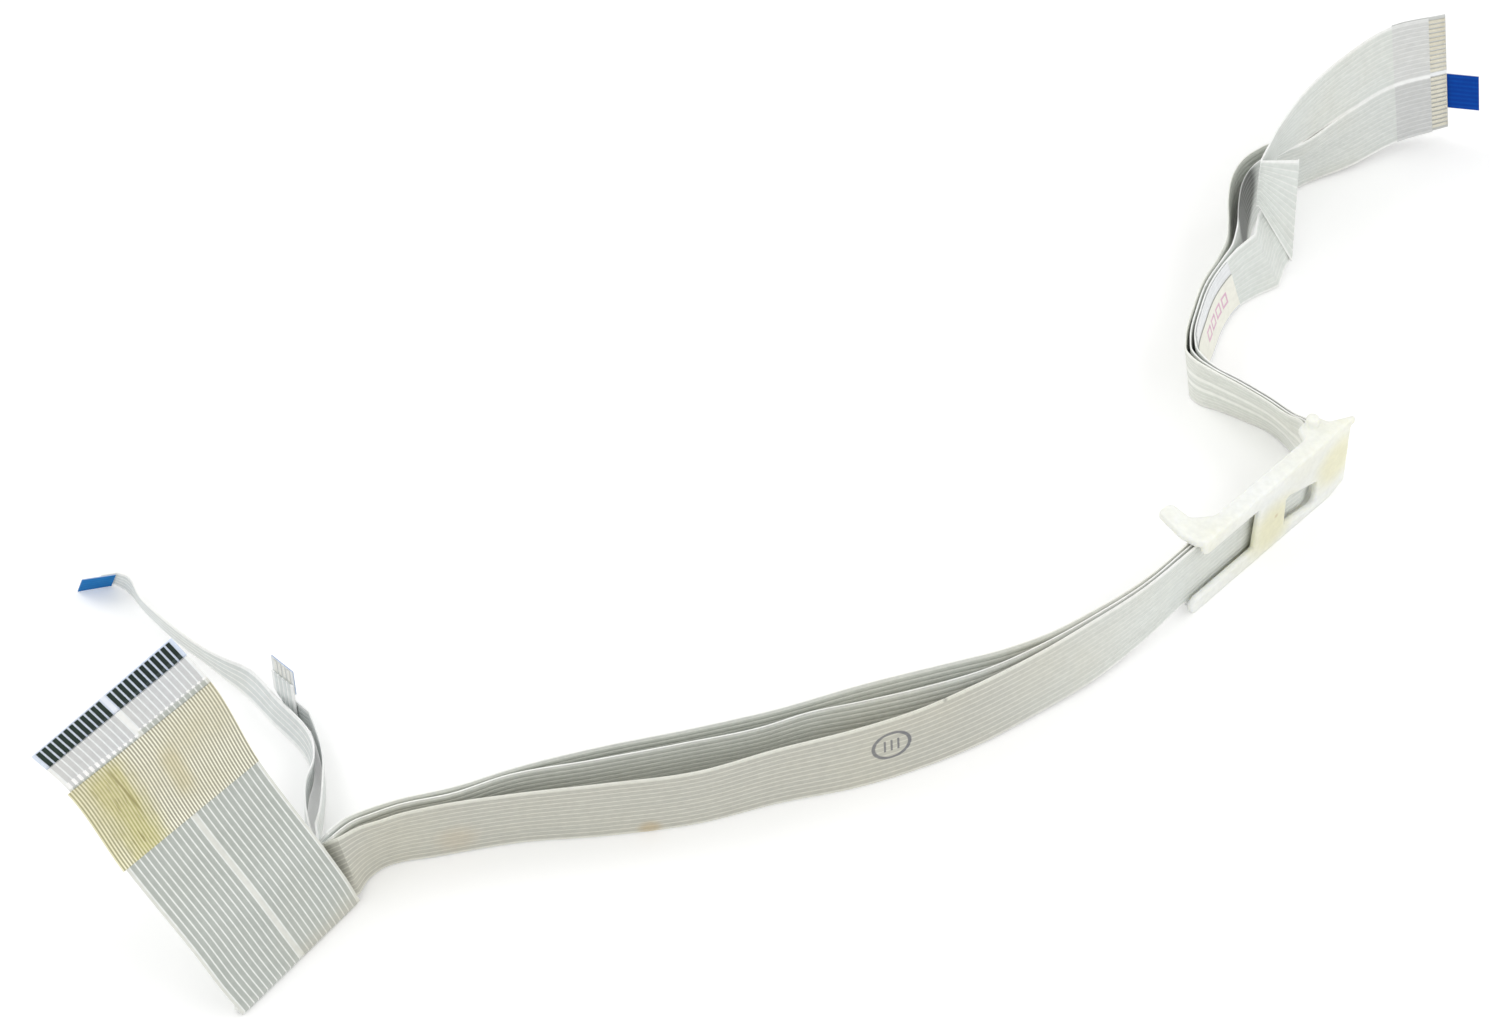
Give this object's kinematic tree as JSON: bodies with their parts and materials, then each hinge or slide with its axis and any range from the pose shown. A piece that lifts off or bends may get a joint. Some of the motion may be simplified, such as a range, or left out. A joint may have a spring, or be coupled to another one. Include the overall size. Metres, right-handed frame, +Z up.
{
  "type": "ribbon cable",
  "caption": "Folded flat flexible cable harness: a wide slit ribbon doubled beside a narrow ribbon with two tails, both run on edge through a plastic clip.",
  "frame": {"origin": "centre of the whole part's box, on the plane it rests on", "axes": "+Z up from the resting plane, +X along the long run from the wide panel towards the clip, +Y away from the viewer"},
  "size_m": [0.2433, 0.195, 0.0469],
  "materials": {
    "film": "satin polyester film over flat conductors",
    "pale_backing": "smooth pale blue stiffening film",
    "dark_contact": null,
    "bright_contact": "tinned flat conductors with a yellow tinge",
    "aged_tape": "yellowed clear tape",
    "clear_tape": "pale clear tape",
    "label_paper": "matte cream paper with pink marks",
    "blue_film": "satin blue stiffening film",
    "nylon": "natural nylon, slightly translucent"
  },
  "bodies": {
    "root": {"wide_ribbon": "film", "narrow_ribbon": "film", "left_backing": "pale_backing", "left_contacts": "dark_contact", "right_backing": "pale_backing", "right_contacts": "bright_contact", "panel_tape": "aged_tape", "bend_tape": "clear_tape", "paper_label": "label_paper", "pull_tab": "blue_film", "long_tail_tab": "blue_film", "short_tail_tab": "blue_film", "long_tail_contacts": "bright_contact", "short_tail_contacts": "bright_contact", "clip": "nylon"}
  },
  "joints": []
}
